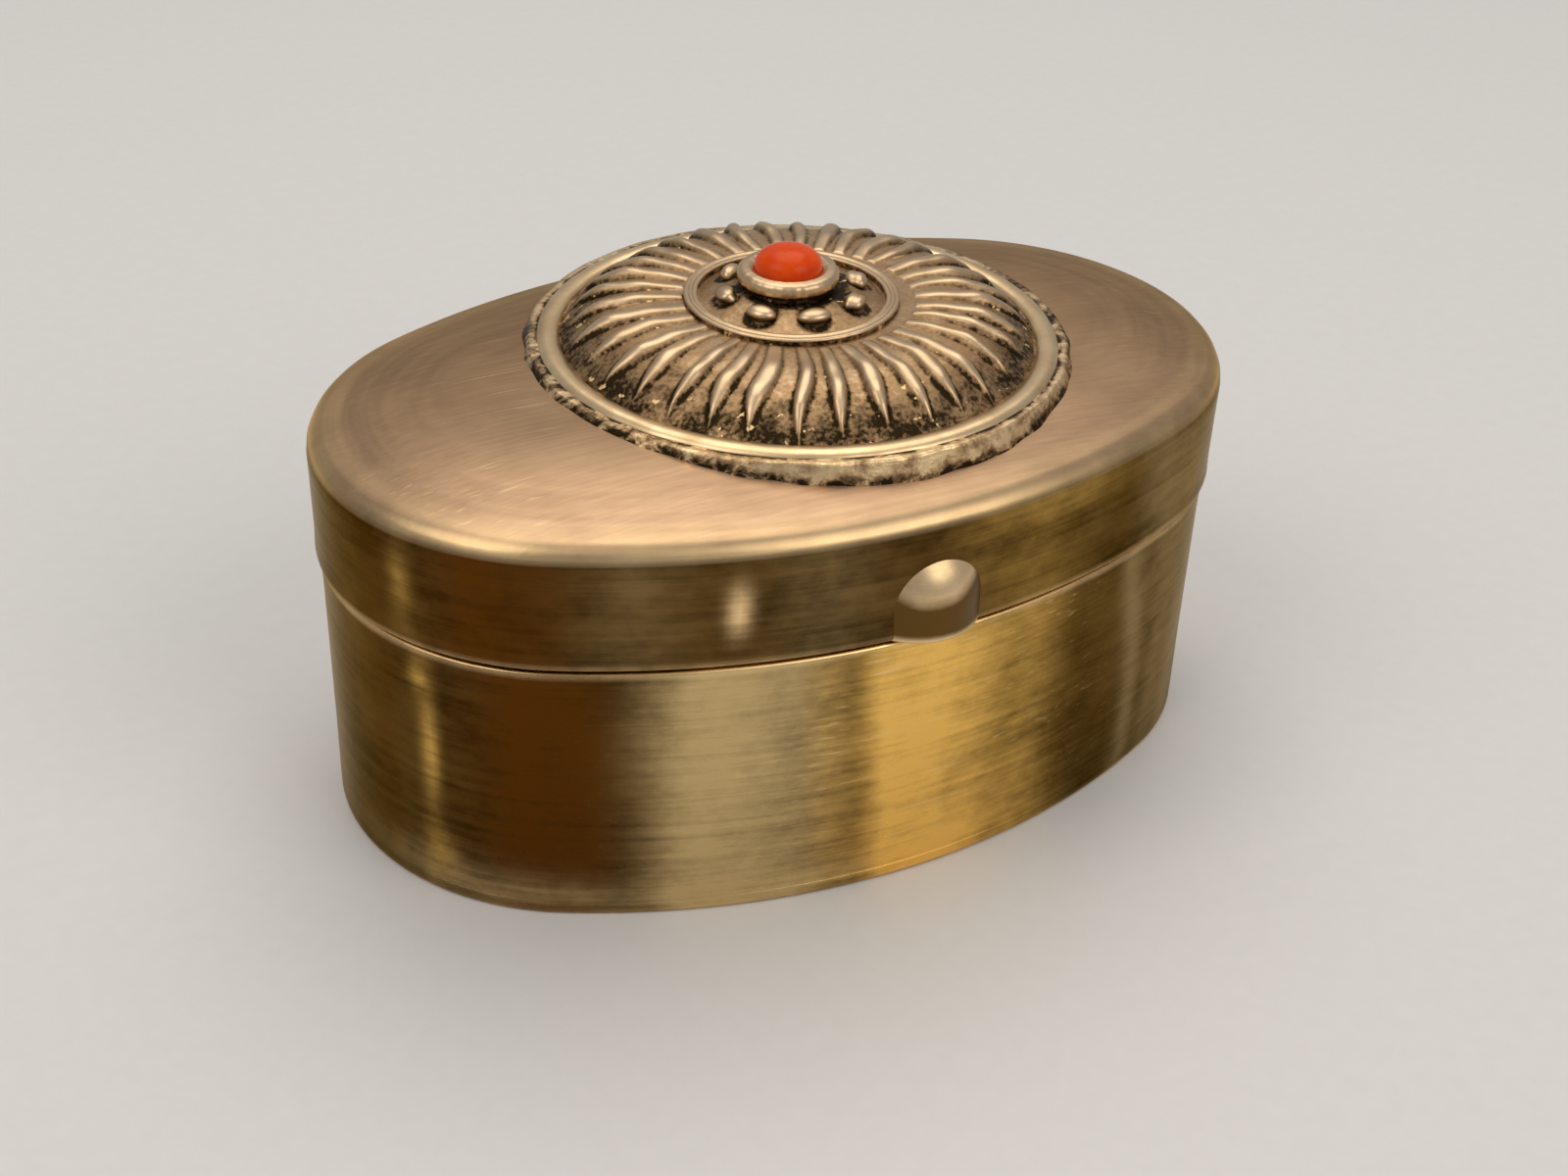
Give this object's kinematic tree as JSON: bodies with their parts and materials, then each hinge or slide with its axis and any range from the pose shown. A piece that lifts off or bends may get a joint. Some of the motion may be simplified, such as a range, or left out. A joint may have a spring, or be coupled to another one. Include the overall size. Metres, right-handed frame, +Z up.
{
  "type": "oval hinged box",
  "caption": "Small oval silver box with a hinged crowned lid, thumb knob, and a chased sunburst medallion set with a coral cabochon.",
  "frame": {"origin": "centre of the flat resting face under the floor plate", "axes": "+X along the oval's length, +Z up, the thumb knob at -Y and the hinge at +Y"},
  "size_m": [0.0504, 0.0338, 0.0284],
  "materials": {
    "silver": "warm tarnished silver, satin, finely brushed",
    "oxidised_silver": "worn silver with dark oxide left in the recesses",
    "coral": "polished orange-red cabochon"
  },
  "bodies": {
    "base": {"base_floor": "silver", "base_wall": "silver", "base_lip": "silver", "base_hinge_bearer": "silver", "base_knuckle_left": "silver", "base_knuckle_middle": "silver", "base_knuckle_right": "silver", "hinge_pin": "silver"},
    "lid": {"lid_wall": "silver", "lid_top": "silver", "lid_hinge_bearer": "silver", "lid_knuckle_left": "silver", "lid_knuckle_right": "silver", "thumb_knob": "silver", "medallion_collar": "oxidised_silver", "medallion_rim": "oxidised_silver", "medallion_dome": "oxidised_silver", "rosette_ring": "oxidised_silver", "rosette_boss": "oxidised_silver", "rosette_beads": "oxidised_silver", "stone_bezel": "oxidised_silver", "coral_cabochon": "coral"}
  },
  "joints": [
    {"name": "lid_hinge", "type": "hinge", "parent": "base", "child": "lid", "pos_m": [0, 0.0155, 0.01498], "axis": [-1, 0, 0], "range_deg": [0, 105]}
  ]
}
